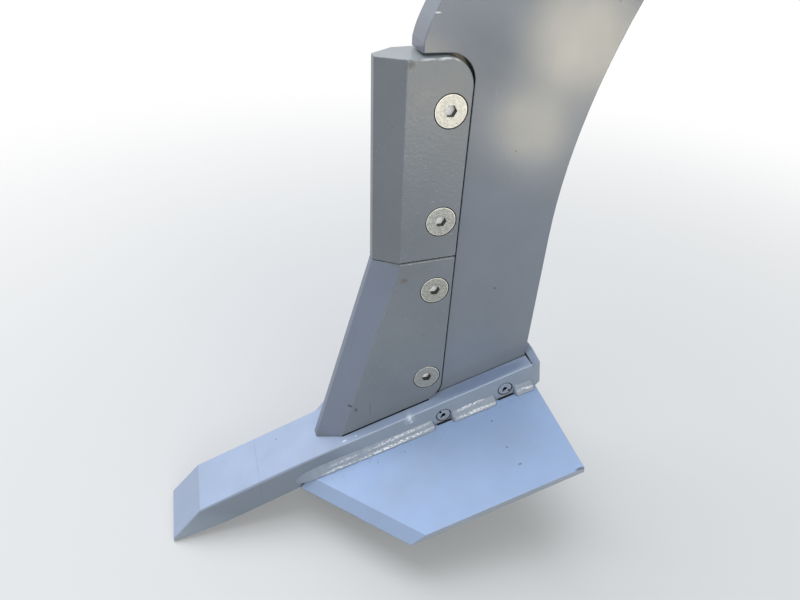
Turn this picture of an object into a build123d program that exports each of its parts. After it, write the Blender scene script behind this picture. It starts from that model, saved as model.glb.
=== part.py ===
from build123d import *
from math import cos, radians, sin, tan
import os

# Subsoiler leg: a swept flat shank with two bolted wear shins, and a pinned foot that carries
# the chisel point and a pair of wings. Millimetres, +X forward, +Y left, +Z up.
# The origin is the centre of the pivot bore in the shank's head. Side outlines are measured
# from the point's edge on the ground: along is forward, up is height over the ground.

os.makedirs("parts", exist_ok=True)

# Shank: a flat plate with a straight rear edge that curves back into a leaning head
SHANK_THICK = 32.0
SHANK_REAR = -424.5
CURVE_HEIGHT = 340.0
REAR_RADIUS = 580.0
HEAD_LEAN = 25.0
HEAD_WIDTH = 168.0
HEAD_LENGTH = 250.0
HEAD_CORNER = 40.0
PLATE_CHAMFER = 0.5

# Bores in the head, on the shank's centre line
PIVOT_DIA = 30.5
PIVOT_FROM_END = 175.0
SHEAR_DIA = 20.5
SHEAR_FROM_END = 55.0

# Seat for the shins: a notch in the shank's front edge, with a thin tongue left in it
NOTCH_TOP = 527.0
NOTCH_REAR = -321.0
NOTCH_CORNER = 25.0
LIP_RISE = 13.1
LIP_DROP = 5.5
LIP_BEND = 14.3
TONGUE_THICK = 15.0
TONGUE_CAP = 14.0
TONGUE_CLEAR = 0.5

# Shins: forked wear pieces, one above the other, that stand proud of the shank's sides
SHIN_PROUD = 6.5
SHIN_REAR_GAP = 3.5
SHIN_TOP_GAP = 0.6
SHIN_SPLIT = 334.2
SHIN_SPLIT_GAP = 1.2
SHIN_END_SLOPE = 2.2
SHIN_SEAT_GAP = 1.0
SHIN_CORNER = 26.0
SHIN_CHAMFER = 1.0
NOSE_TOP = -233.7
NOSE_SPLIT = -236.3
NOSE_FOOT = -173.0
NOSE_WIDTH = 11.0
NOSE_ROUND = 4.0
NOSE_BEVEL = 23.5
NOSE_WALL = 29.0

# Bar: the foot and the point are one bent bar, with a joint between them
BAR_WIDTH = 70.0
BAR_THICK = 36.0
BAR_BEND = -195.0
FRONT_SLOPE = 21.0
REAR_SLOPE = 18.2
BAR_CHAMFER = 1.0
SEAM_CHAMFER = 1.2
TIP_LENGTH = 102.5
TIP_EDGE = 6.8
TIP_BEVEL_RUN = 33.9
TIP_BEVEL_RISE = 37.0
TIP_RELIEF = 64.0

# Slot in the foot that the shank's tenon fits
SLOT_CLEAR = 1.0
SLOT_LEDGE = 23.0
SLOT_FRONT = NOTCH_REAR + SLOT_LEDGE
TENON_CLEAR = 2.0
TENON_END_CLEAR = 1.5

# Heel: a block that closes the slot, with a crowned top that rises behind the shank
HEEL_LENGTH = 7.0
HEEL_RISE = 5.0
HEEL_SIDE_DROP = 4.0
HEEL_RAKE = 10.0
HEEL_CHAMFER = 9.0

# Wings: flat plates, each in a tilted plane of its own from the root's front corner
WING_THICK = 12.0
WING_ROOT_FRONT = -141.2
WING_LIFT = 14.0
WING_SLOPE = 17.0
WING_TILT = 12.0
WING_SPAN = 116.0
WING_SWEEP = 101.0
WING_BEVEL = 14.0
WING_EDGE = 2.5
WING_GAP = 1.5

# Weld beads between wing and foot, with a pocket left open below each pin
BEAD_UP = 11.0
BEAD_OUT = 8.0
BEAD_BULGE = 1.2
BEAD_FRONT_INSET = 5.0
BEAD_REAR_INSET = 2.0
POCKET_WIDTH = 20.0

# Double spring pins: one slit sleeve inside another, through both cheeks and the tenon
PIN_DIA = 16.0
PIN_WALL = 2.9
PIN_INNER_WALL = 2.4
PIN_CLEAR = 0.1
PIN_SUNK = 0.5
PIN_SLIT = 2.5
PIN_LEAD = 0.8
PIN_DROP = 2.6
FRONT_PIN_INSET = 21.4
REAR_PIN_INSET = 31.3

# Countersunk screws through shins and tongue, heads on the left and nuts on the right
SCREW_DIA = 16.0
SCREW_INSET = 22.3
SCREW_BELOW_TOP = 46.0
SCREW_ABOVE_SPLIT = 40.4
SCREW_BELOW_SPLIT = 38.3
SCREW_ABOVE_FOOT = 38.0
SCREW_CLEAR = 0.5
HEAD_DIA = 29.5
HEAD_SUNK = 0.4
HEAD_CLEAR = 0.6
SOCKET_ACROSS = 10.0
SOCKET_DEPTH = 6.0
NUT_ACROSS = 24.0
NUT_HEIGHT = 13.0
THREAD_CLEAR = 0.05
THREAD_PAST_NUT = 3.0

SLOT_REAR = SHANK_REAR - TENON_END_CLEAR
HEEL_REAR = SLOT_REAR - HEEL_LENGTH
PINS = [
    # name, distance along, turn of the outer and of the inner sleeve's slit in degrees
    ("front_pin", SLOT_FRONT - FRONT_PIN_INSET, 49.0, -48.0),
    ("rear_pin", SLOT_REAR + REAR_PIN_INSET, 212.0, -60.0),
]

HALF_SHANK = SHANK_THICK / 2
HALF_SHIN = HALF_SHANK + SHIN_PROUD
HALF_BAR = BAR_WIDTH / 2
FRONT_RADIUS = REAR_RADIUS + HEAD_WIDTH
CURVE_CENTRE = SHANK_REAR - REAR_RADIUS
TIP_TOP = TIP_EDGE + TIP_BEVEL_RISE
SHIN_TOP = NOTCH_TOP - SHIN_TOP_GAP
SHIN_REAR = NOTCH_REAR + SHIN_REAR_GAP
SCREW_ALONG = NOTCH_REAR + SCREW_INSET
HOLE_RADIUS = SCREW_DIA / 2 + SCREW_CLEAR


def on_curve(radius, lean):
    """Side-view point of the shank's curve at a lean in degrees."""
    along = CURVE_CENTRE + radius * cos(radians(lean))
    return (along, CURVE_HEIGHT + radius * sin(radians(lean)))


def on_head(radius, from_end):
    """Side-view point of the straight head, at a distance from the head's end."""
    along, up = on_curve(radius, HEAD_LEAN)
    run = HEAD_LENGTH - from_end
    return (along - run * sin(radians(HEAD_LEAN)), up + run * cos(radians(HEAD_LEAN)))


def bar_top(along):
    """Height of the bar's top face."""
    front = TIP_TOP - (max(along, BAR_BEND) + TIP_BEVEL_RUN) * tan(radians(FRONT_SLOPE))
    return front + max(BAR_BEND - along, 0) * tan(radians(REAR_SLOPE))


def bar_bottom(along):
    """Height of the bar's underside, one bar's thickness square below its top face."""
    slope = REAR_SLOPE if along < BAR_BEND else FRONT_SLOPE
    return bar_top(along) - BAR_THICK / cos(radians(slope))


def pin_place(along):
    """Side-view point of a pin, a little below the middle of the bar's side."""
    return (along, (bar_top(along) + bar_bottom(along)) / 2 - PIN_DROP)


def end_line(up, along):
    """Height of a shin's end face, which falls to the nose from a height at its rear."""
    return up - (along - SHIN_REAR) * tan(radians(SHIN_END_SLOPE))


def seat_line(along):
    """Height of the lower shin's underside."""
    return bar_top(along) + SHIN_SEAT_GAP


# Screws: name, height over the ground
UPPER_SCREWS = [
    ("upper_shin_screw_high", SHIN_TOP - SCREW_BELOW_TOP),
    ("upper_shin_screw_low", SHIN_SPLIT + SCREW_ABOVE_SPLIT),
]
LOWER_SCREWS = [
    ("lower_shin_screw_high", SHIN_SPLIT - SCREW_BELOW_SPLIT),
    ("lower_shin_screw_low", bar_top(SCREW_ALONG) + SCREW_ABOVE_FOOT),
]

# Bores of the head, and the planes that all outlines are drawn on
MIDDLE_RADIUS = (REAR_RADIUS + FRONT_RADIUS) / 2
PIVOT = on_head(MIDDLE_RADIUS, PIVOT_FROM_END)
SHEAR = on_head(MIDDLE_RADIUS, SHEAR_FROM_END)
SIDE = Plane(origin=(-PIVOT[0], 0, -PIVOT[1]), x_dir=(1, 0, 0), z_dir=(0, -1, 0))


def level(up):
    """Horizontal plane at a height over the ground."""
    return Plane(origin=(-PIVOT[0], 0, up - PIVOT[1]))


def left_face(up):
    """Plane on the shins' left face, centred on a screw at a height over the ground."""
    place = (SCREW_ALONG - PIVOT[0], HALF_SHIN, up - PIVOT[1])
    return Plane(origin=place, x_dir=(1, 0, 0), z_dir=(0, 1, 0))


def outline(points):
    """Face inside a closed line of points, for the sketch that is open."""
    with BuildLine() as line:
        Polyline(*points, close=True)
    make_face(line.edges())


# The tongue fills the notch's corner, keeps one wall behind the nose, and clears the bar
NOSE_FALL = (NOSE_FOOT - NOSE_SPLIT) / (SHIN_SPLIT - bar_top(NOSE_FOOT))
TONGUE_FRONT = NOSE_SPLIT - NOSE_WALL
TONGUE_FOOT = NOSE_FOOT - 1.5 * NOSE_WALL
TONGUE_OUTLINE = [
    (NOTCH_REAR, NOTCH_TOP),
    (NOTCH_REAR + NOTCH_CORNER, NOTCH_TOP),
    (NOTCH_REAR + NOTCH_CORNER, SHIN_TOP - TONGUE_CAP),
    (TONGUE_FRONT, end_line(SHIN_TOP, TONGUE_FRONT) - TONGUE_CAP),
    (TONGUE_FRONT, SHIN_SPLIT),
    (TONGUE_FOOT, SHIN_SPLIT - (TONGUE_FOOT - TONGUE_FRONT) / NOSE_FALL),
    (NOTCH_REAR, bar_top(NOTCH_REAR) + TONGUE_CAP),
]

# Shank, with its tenon below, its tongue in the notch and its bores
TENON_FRONT = SLOT_FRONT - TENON_END_CLEAR
with BuildPart() as shank:
    with BuildSketch(SIDE) as plate:
        with BuildLine():
            front_start = on_curve(FRONT_RADIUS, HEAD_LEAN)
            lean_way = (sin(radians(HEAD_LEAN)), -cos(radians(HEAD_LEAN)))
            lip_up = NOTCH_TOP + LIP_RISE
            lip_along = front_start[0] + (front_start[1] - lip_up) * tan(radians(HEAD_LEAN))
            lip_top = (lip_along - LIP_BEND * lean_way[0], lip_up - LIP_BEND * lean_way[1])
            lip_foot = (lip_along, lip_up - LIP_DROP)
            notch_foot = (NOTCH_REAR, bar_top(NOTCH_REAR) - TENON_CLEAR)
            tenon_rear = (SHANK_REAR, bar_bottom(SHANK_REAR) + TENON_CLEAR)
            Line(tenon_rear, on_curve(REAR_RADIUS, 0))
            ThreePointArc(*[on_curve(REAR_RADIUS, HEAD_LEAN * step / 2) for step in range(3)])
            Polyline(
                on_curve(REAR_RADIUS, HEAD_LEAN),
                on_head(REAR_RADIUS, 0),
                on_head(FRONT_RADIUS, 0),
                lip_top,
            )
            TangentArc(lip_top, lip_foot, tangent=lean_way)
            Polyline(
                lip_foot,
                (lip_along, NOTCH_TOP),
                (NOTCH_REAR, NOTCH_TOP),
                notch_foot,
                (TENON_FRONT, bar_top(TENON_FRONT) - TENON_CLEAR),
                (TENON_FRONT, bar_bottom(TENON_FRONT) + TENON_CLEAR),
                tenon_rear,
            )
        make_face()
        for radius in (REAR_RADIUS, FRONT_RADIUS):
            fillet(plate.vertices().sort_by_distance(on_head(radius, 0))[0], HEAD_CORNER)
        fillet(plate.vertices().sort_by_distance((NOTCH_REAR, NOTCH_TOP))[0], NOTCH_CORNER)
        fillet(plate.vertices().sort_by_distance(notch_foot)[0], SHIN_CORNER)
        for place, dia in ((PIVOT, PIVOT_DIA), (SHEAR, SHEAR_DIA)):
            with Locations(place):
                Circle(dia / 2, mode=Mode.SUBTRACT)
    extrude(amount=HALF_SHANK, both=True)
    chamfer(shank.faces().filter_by(Axis.Y).edges(), PLATE_CHAMFER)
    with BuildSketch(SIDE):
        outline(TONGUE_OUTLINE)
        for name, up in UPPER_SCREWS + LOWER_SCREWS:
            with Locations((SCREW_ALONG, up)):
                Circle(HOLE_RADIUS, mode=Mode.SUBTRACT)
    extrude(amount=TONGUE_THICK / 2, both=True)
    with BuildSketch(SIDE):
        for name, along, outer_turn, inner_turn in PINS:
            with Locations(pin_place(along)):
                Circle(PIN_DIA / 2 + PIN_CLEAR)
    extrude(amount=HALF_SHANK, both=True, mode=Mode.SUBTRACT)
shank.part.label = "shank"
export_step(shank.part, "parts/shank.step")

# Shins: cut to their side outline, bevelled to a blunt nose and forked over the tongue
SHINS = [
    # name, screws, side outline with the rounded rear corner first
    (
        "upper_shin",
        UPPER_SCREWS,
        [
            (SHIN_REAR, SHIN_TOP),
            (NOSE_TOP, end_line(SHIN_TOP, NOSE_TOP)),
            (NOSE_SPLIT, end_line(SHIN_SPLIT + SHIN_SPLIT_GAP / 2, NOSE_SPLIT)),
            (SHIN_REAR, SHIN_SPLIT + SHIN_SPLIT_GAP / 2),
        ],
    ),
    (
        "lower_shin",
        LOWER_SCREWS,
        [
            (SHIN_REAR, seat_line(SHIN_REAR)),
            (SHIN_REAR, SHIN_SPLIT - SHIN_SPLIT_GAP / 2),
            (NOSE_SPLIT, end_line(SHIN_SPLIT - SHIN_SPLIT_GAP / 2, NOSE_SPLIT)),
            (NOSE_FOOT, seat_line(NOSE_FOOT)),
            (BAR_BEND, seat_line(BAR_BEND)),
        ],
    ),
]
for shin_name, screws, side_line in SHINS:
    with BuildPart() as shin:
        with BuildSketch(SIDE) as side:
            outline(side_line)
            fillet(side.vertices().sort_by_distance(side_line[0])[0], SHIN_CORNER)
        extrude(amount=HALF_SHIN, both=True)
        nose = shin.faces().sort_by(lambda face: face.normal_at().X)[-1]
        side_room = HALF_SHIN - NOSE_WIDTH / 2
        chamfer(nose.edges().filter_by(Axis.Y, reverse=True), side_room, NOSE_BEVEL, reference=nose)
        nose = shin.faces().sort_by(lambda face: face.normal_at().X)[-1]
        fillet(nose.edges().filter_by(Axis.Y, reverse=True), NOSE_ROUND)
        sides = shin.faces().filter_by(Axis.Y)
        side_front = sides.edges().group_by(Axis.X)[-1]
        chamfer(sides.edges() - side_front, SHIN_CHAMFER)
        with BuildSketch(SIDE):
            outline(TONGUE_OUTLINE)
            offset(amount=TONGUE_CLEAR, kind=Kind.INTERSECTION)
        extrude(amount=TONGUE_THICK / 2 + TONGUE_CLEAR, both=True, mode=Mode.SUBTRACT)
        for name, up in screws:
            with Locations(left_face(up)):
                CounterSinkHole(HOLE_RADIUS, HEAD_DIA / 2 + HEAD_SUNK + HEAD_CLEAR, 2 * HALF_SHIN, 90)
    shin.part.label = shin_name
    export_step(shin.part, f"parts/{shin_name}.step")

# Foot: the rear length of the bar, slotted for the tenon
FOOT_STATIONS = (-TIP_LENGTH, BAR_BEND, SLOT_REAR)
with BuildPart() as foot:
    with BuildSketch(SIDE):
        top_line = [(x, bar_top(x)) for x in FOOT_STATIONS]
        outline(top_line + [(x, bar_bottom(x)) for x in reversed(FOOT_STATIONS)])
    extrude(amount=HALF_BAR, both=True)
    sides = foot.faces().filter_by(Axis.Y)
    long_edges = sides.edges().filter_by(Axis.Z, reverse=True)
    chamfer(long_edges, BAR_CHAMFER)
    seam = foot.faces().sort_by(Axis.X)[0].edges().sort_by(Axis.Z)[-1]
    chamfer(seam, SEAM_CHAMFER)
    with BuildSketch(level(0)):
        slot_half = HALF_SHANK + SLOT_CLEAR
        slot_end = SLOT_REAR - BAR_THICK
        outline(
            [
                (SLOT_FRONT, slot_half),
                (SLOT_FRONT, -slot_half),
                (slot_end, -slot_half),
                (slot_end, slot_half),
            ]
        )
    extrude(amount=bar_top(SLOT_REAR) + BAR_THICK, mode=Mode.SUBTRACT)
    with BuildSketch(SIDE):
        for name, along, outer_turn, inner_turn in PINS:
            with Locations(pin_place(along)):
                Circle(PIN_DIA / 2 + PIN_CLEAR)
    extrude(amount=HALF_BAR, both=True, mode=Mode.SUBTRACT)
    sides = foot.faces().filter_by(Axis.Y).group_by(Axis.Y)
    mouths = (sides[0] + sides[-1]).edges().filter_by(GeomType.CIRCLE)
    chamfer(mouths, PIN_LEAD)
foot.part.label = "foot"
export_step(foot.part, "parts/foot.step")

# Point: the hard front length of the bar, with a chisel edge
with BuildPart() as point:
    with BuildSketch(SIDE):
        outline(
            [
                (0, 0),
                (0, TIP_EDGE),
                (-TIP_BEVEL_RUN, TIP_TOP),
                (-TIP_LENGTH, bar_top(-TIP_LENGTH)),
                (-TIP_LENGTH, bar_bottom(-TIP_LENGTH)),
                (-TIP_RELIEF, bar_bottom(-TIP_RELIEF)),
            ]
        )
    extrude(amount=HALF_BAR, both=True)
    sides = point.faces().filter_by(Axis.Y)
    chamfer(sides.edges().filter_by(Axis.Z, reverse=True), BAR_CHAMFER)
point.part.label = "point"
export_step(point.part, "parts/point.step")

# Heel
with BuildPart() as heel:
    with BuildSketch(SIDE):
        heel_top = bar_top(HEEL_REAR) + HEEL_RISE
        heel_foot = bar_bottom(SLOT_REAR)
        rear_foot = HEEL_REAR - (heel_top - heel_foot) * tan(radians(HEEL_RAKE))
        outline(
            [
                (SLOT_REAR, heel_foot),
                (SLOT_REAR, bar_top(SLOT_REAR)),
                (HEEL_REAR, heel_top),
                (rear_foot, heel_foot),
            ]
        )
    extrude(amount=HALF_BAR, both=True)
    foot_edge = heel.faces().sort_by(Axis.Z)[0].edges().sort_by(Axis.X)[0]
    chamfer(foot_edge, HEEL_CHAMFER)
    top = heel.faces().sort_by(Axis.Z)[-1]
    crown_run = HALF_BAR - HALF_SHANK
    crown_edges = top.edges().filter_by(Axis.Y, reverse=True)
    chamfer(crown_edges, crown_run, HEEL_SIDE_DROP, reference=top)
heel.part.label = "heel"
export_step(heel.part, "parts/heel.step")

def root_run(along):
    """Distance down the wing's root from its front corner."""
    return (WING_ROOT_FRONT - along) / cos(radians(WING_SLOPE))


# Wings: flush with the heel behind; the left one is drawn and mirrored for the right one
WING_CHORD = root_run(HEEL_REAR)
WING_ROOT_UP = bar_bottom(WING_ROOT_FRONT) + WING_LIFT
ROOT_DIR = Vector(cos(radians(WING_SLOPE)), 0, -sin(radians(WING_SLOPE)))
ROOT = Vector(WING_ROOT_FRONT - PIVOT[0], HALF_BAR, WING_ROOT_UP - PIVOT[1])
UPRIGHT = ROOT_DIR.cross(Vector(0, 1, 0))
OUTWARD = Vector(0, cos(radians(WING_TILT)), 0) - UPRIGHT * sin(radians(WING_TILT))
WING_PLANE = Plane(origin=ROOT, x_dir=ROOT_DIR, z_dir=ROOT_DIR.cross(OUTWARD))
with BuildPart() as wing_left:
    with BuildSketch(WING_PLANE):
        inner_run = WING_SWEEP * HALF_BAR / WING_SPAN
        outline(
            [
                (inner_run, -HALF_BAR),
                (-WING_SWEEP, WING_SPAN),
                (-WING_CHORD, WING_SPAN),
                (-WING_CHORD, -HALF_BAR),
            ]
        )
    extrude(amount=-WING_THICK)
    top = wing_left.faces().sort_by(Axis(ROOT, WING_PLANE.z_dir))[-1]
    lead = top.edges().sort_by_distance(ROOT)[0]
    chamfer(lead, WING_BEVEL, WING_THICK - WING_EDGE, reference=top)
    with BuildSketch(level(-WING_CHORD)):
        with Locations((WING_ROOT_FRONT, 0)):
            Rectangle(3 * WING_CHORD, BAR_WIDTH + 2 * WING_GAP)
    extrude(amount=3 * WING_CHORD, mode=Mode.SUBTRACT)
wing_left.part.label = "wing_left"
export_step(wing_left.part, "parts/wing_left.step")

with BuildPart() as wing_right:
    mirror(wing_left.part, about=Plane.XZ)
wing_right.part.label = "wing_right"
export_step(wing_right.part, "parts/wing_right.step")


# Weld beads: three runs a side, stopped short of the pins' pockets
POCKETS = [root_run(along) for name, along, outer_turn, inner_turn in PINS]
BEAD_STARTS = [BEAD_FRONT_INSET] + [run + POCKET_WIDTH / 2 for run in POCKETS]
BEAD_ENDS = [run - POCKET_WIDTH / 2 for run in POCKETS] + [WING_CHORD - BEAD_REAR_INSET]
with BuildPart() as wing_weld_left:
    for start, end in zip(BEAD_STARTS, BEAD_ENDS):
        with BuildSketch(Plane(origin=ROOT - ROOT_DIR * start, x_dir=(0, 1, 0), z_dir=ROOT_DIR)):
            with BuildLine():
                toe_out = BEAD_OUT * cos(radians(WING_TILT))
                toe_down = BEAD_OUT * sin(radians(WING_TILT))
                Polyline((toe_out, -toe_down), (0, 0), (0, BEAD_UP))
                SagittaArc((0, BEAD_UP), (toe_out, -toe_down), BEAD_BULGE)
            make_face()
        extrude(amount=start - end)
wing_weld_left.part.label = "wing_weld_left"
export_step(wing_weld_left.part, "parts/wing_weld_left.step")

with BuildPart() as wing_weld_right:
    mirror(wing_weld_left.part, about=Plane.XZ)
wing_weld_right.part.label = "wing_weld_right"
export_step(wing_weld_right.part, "parts/wing_weld_right.step")

# Spring pins: each sleeve has its slit turned its own way
INNER_DIA = PIN_DIA - 2 * PIN_WALL - 2 * PIN_CLEAR
for name, along, outer_turn, inner_turn in PINS:
    for layer, dia, wall, slit_turn in (
        ("outer", PIN_DIA, PIN_WALL, outer_turn),
        ("inner", INNER_DIA, PIN_INNER_WALL, inner_turn),
    ):
        with BuildPart() as sleeve:
            with BuildSketch(SIDE):
                with Locations(Location(pin_place(along), slit_turn)):
                    Circle(dia / 2)
                    Circle(dia / 2 - wall, mode=Mode.SUBTRACT)
                    with Locations((dia / 2, 0)):
                        Rectangle(dia, PIN_SLIT, mode=Mode.SUBTRACT)
            extrude(amount=HALF_BAR - PIN_SUNK, both=True)
        sleeve.part.label = f"{name}_{layer}"
        export_step(sleeve.part, f"parts/{name}_{layer}.step")

# Screws and their nuts
SCREW_LENGTH = 2 * HALF_SHIN + NUT_HEIGHT + THREAD_PAST_NUT
for name, up in UPPER_SCREWS + LOWER_SCREWS:
    with BuildPart() as screw:
        with BuildSketch(left_face(up).offset(-HEAD_SUNK)):
            Circle(HEAD_DIA / 2)
        extrude(amount=-(HEAD_DIA - SCREW_DIA) / 2, taper=45)
        with BuildSketch(left_face(up).offset(-HEAD_SUNK)):
            Circle(SCREW_DIA / 2)
        extrude(amount=-(SCREW_LENGTH - HEAD_SUNK))
        with BuildSketch(left_face(up).offset(-HEAD_SUNK)):
            RegularPolygon(SOCKET_ACROSS / 2, 6, major_radius=False)
        extrude(amount=-SOCKET_DEPTH, mode=Mode.SUBTRACT)
    screw.part.label = name
    export_step(screw.part, f"parts/{name}.step")

    with BuildPart() as nut:
        with BuildSketch(left_face(up).offset(-2 * HALF_SHIN)):
            RegularPolygon(NUT_ACROSS / 2, 6, major_radius=False)
            Circle(SCREW_DIA / 2 + THREAD_CLEAR, mode=Mode.SUBTRACT)
        extrude(amount=-NUT_HEIGHT)
    nut.part.label = f"{name}_nut"
    export_step(nut.part, f"parts/{name}_nut.step")
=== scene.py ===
"""Looks of a subsoiler leg: painted steel plates, weld runs, spring pins and plated screws."""

from __future__ import annotations

import logging
import math
import random
from collections.abc import Sequence
from dataclasses import dataclass, replace
from enum import Enum

import bmesh
import bpy
from mathutils import Matrix, Vector, noise

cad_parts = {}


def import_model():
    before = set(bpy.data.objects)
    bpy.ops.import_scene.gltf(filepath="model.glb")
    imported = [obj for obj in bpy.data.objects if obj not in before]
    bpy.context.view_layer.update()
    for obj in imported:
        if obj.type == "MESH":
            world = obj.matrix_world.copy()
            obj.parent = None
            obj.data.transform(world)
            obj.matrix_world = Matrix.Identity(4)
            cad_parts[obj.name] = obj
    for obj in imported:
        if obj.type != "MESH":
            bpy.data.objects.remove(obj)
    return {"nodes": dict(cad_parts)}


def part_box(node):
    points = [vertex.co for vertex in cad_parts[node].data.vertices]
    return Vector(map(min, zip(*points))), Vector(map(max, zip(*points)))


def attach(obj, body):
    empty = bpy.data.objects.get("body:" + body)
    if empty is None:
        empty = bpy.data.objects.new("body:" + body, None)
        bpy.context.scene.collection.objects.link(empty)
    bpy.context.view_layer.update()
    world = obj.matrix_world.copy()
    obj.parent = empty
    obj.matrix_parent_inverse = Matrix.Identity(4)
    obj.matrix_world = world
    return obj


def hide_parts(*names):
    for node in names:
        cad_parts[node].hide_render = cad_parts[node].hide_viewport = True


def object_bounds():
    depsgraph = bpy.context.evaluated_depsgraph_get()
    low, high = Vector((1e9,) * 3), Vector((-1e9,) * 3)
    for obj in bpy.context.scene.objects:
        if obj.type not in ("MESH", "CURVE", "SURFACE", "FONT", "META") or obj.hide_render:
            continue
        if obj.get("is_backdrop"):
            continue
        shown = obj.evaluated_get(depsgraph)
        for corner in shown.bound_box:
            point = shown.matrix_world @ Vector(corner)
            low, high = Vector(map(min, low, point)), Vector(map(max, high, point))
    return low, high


LOG = logging.getLogger("subsoiler_leg")
MM = 0.001
BEVEL_SAMPLES = 6
Pair = tuple[float, float]
Triple = tuple[float, float, float]
Tree = bpy.types.NodeTree
Node = bpy.types.Node
Socket = bpy.types.NodeSocket
Nodes = dict[str, bpy.types.Object]


class Side(Enum):
    """Side of the leg, as the sign of its Y."""

    LEFT = 1
    RIGHT = -1


def srgb(code: str) -> tuple[float, float, float, float]:
    """Turns an sRGB hex colour into a linear one.

    Args:
        code: Six hex digits, such as "767C87".

    Returns:
        Linear red, green and blue with a full alpha.
    """
    parts = [int(code[i : i + 2], 16) / 255 for i in (0, 2, 4)]
    linear = [p / 12.92 if p <= 0.04045 else ((p + 0.055) / 1.055) ** 2.4 for p in parts]
    return (linear[0], linear[1], linear[2], 1.0)


def feed(tree: Tree, node: Node, links: dict) -> None:
    """Feeds a node's inputs.

    Args:
        tree: The node tree.
        node: The node that is fed.
        links: Output socket, or a node for its first output, by the input's name or number.
    """
    for name, source in links.items():
        socket = source.outputs[0] if isinstance(source, Node) else source
        tree.links.new(socket, node.inputs[name])


def add_node(
    tree: Tree, kind: str, settings: dict | None = None, links: dict | None = None
) -> Node:
    """Adds a shader node with its settings, socket values and links.

    Args:
        tree: The node tree.
        kind: The node's type name, without its first part, ShaderNode.
        settings: Attributes by name, and socket values by "in:SOCKET".
        links: What feeds it, as feed takes it.

    Returns:
        The new node.
    """
    node = tree.nodes.new(f"ShaderNode{kind}")
    for name, value in (settings or {}).items():
        if name.startswith("in:"):
            key = name[3:]
            node.inputs[int(key) if key.isdigit() else key].default_value = value
        else:
            setattr(node, name, value)
    feed(tree, node, links or {})
    return node


def new_material(name: str) -> tuple[bpy.types.Material, Tree, Node]:
    """Makes a material.

    Args:
        name: What the real material is.

    Returns:
        The material, its node tree and its shader.
    """
    material = bpy.data.materials.new(name)
    material.use_nodes = True
    tree = material.node_tree
    return material, tree, tree.nodes["Principled BSDF"]


def lay_colours(tree: Tree, base: str, layers: list[tuple[str, Socket | Node]]) -> Socket:
    """Lays colours over a base one, each where its mask is.

    Args:
        tree: The material's node tree.
        base: Hex colour at the bottom.
        layers: Hex colour and mask of each layer, from the lowest up.

    Returns:
        The colour that shows.
    """
    shown = None
    for code, mask in layers:
        settings = {"data_type": "RGBA", "in:6": srgb(base), "in:7": srgb(code)}
        links = {0: mask} if shown is None else {0: mask, 6: shown}
        shown = add_node(tree, "Mix", settings, links).outputs[2]
    return shown


def radius_about(tree: Tree, coords: Socket, place: Triple) -> Socket:
    """Measures the distance from an axis along Y.

    Args:
        tree: The material's node tree.
        coords: Object coordinates in metres.
        place: A place on the axis, in metres.

    Returns:
        The distance in metres.
    """
    away = add_node(
        tree,
        "Mapping",
        {"in:Location": (-place[0], 0.0, -place[2]), "in:Scale": (1.0, 0.0, 1.0)},
        {"Vector": coords},
    )
    far = add_node(tree, "VectorMath", {"operation": "LENGTH"}, {0: away})
    return far.outputs["Value"]


@dataclass(frozen=True)
class Patches:
    """A ragged pattern in the steel's own coordinates.

    Args:
        size_mm: Width of one patch.
        low: Noise value at which a patch begins.
        high: Noise value at which it is full.
        stretch: Length of a patch along X, Y and Z, in widths.
        detail: How finely its edge breaks up.
        offset: Place in the noise that it is taken from.
        turn: Turn of its long direction about Y, in degrees.
    """

    size_mm: float
    low: float
    high: float
    stretch: Triple = (1.0, 1.0, 1.0)
    detail: float = 3.0
    offset: float = 0.0
    turn: float = 0.0

    def add(self, tree: Tree, coords: Socket) -> Socket:
        """Adds the pattern to a material.

        Args:
            tree: The material's node tree.
            coords: Object coordinates in metres.

        Returns:
            A value from 0 outside the patches to 1 inside them.
        """
        scale = [self.size_mm * MM * length for length in self.stretch]
        place = add_node(
            tree,
            "Mapping",
            {
                "vector_type": "TEXTURE",
                "in:Location": (self.offset * scale[0], 2.0 * self.offset * scale[1], 0.0),
                "in:Rotation": (0.0, math.radians(self.turn), 0.0),
                "in:Scale": scale,
            },
            {"Vector": coords},
        )
        field = add_node(
            tree,
            "TexNoise",
            {"in:Scale": 1.0, "in:Detail": self.detail, "in:Roughness": 0.6},
            {"Vector": place},
        )
        cut = add_node(
            tree, "MapRange", {"in:From Min": self.low, "in:From Max": self.high}, {"Value": field}
        )
        return cut.outputs[0]


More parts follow.
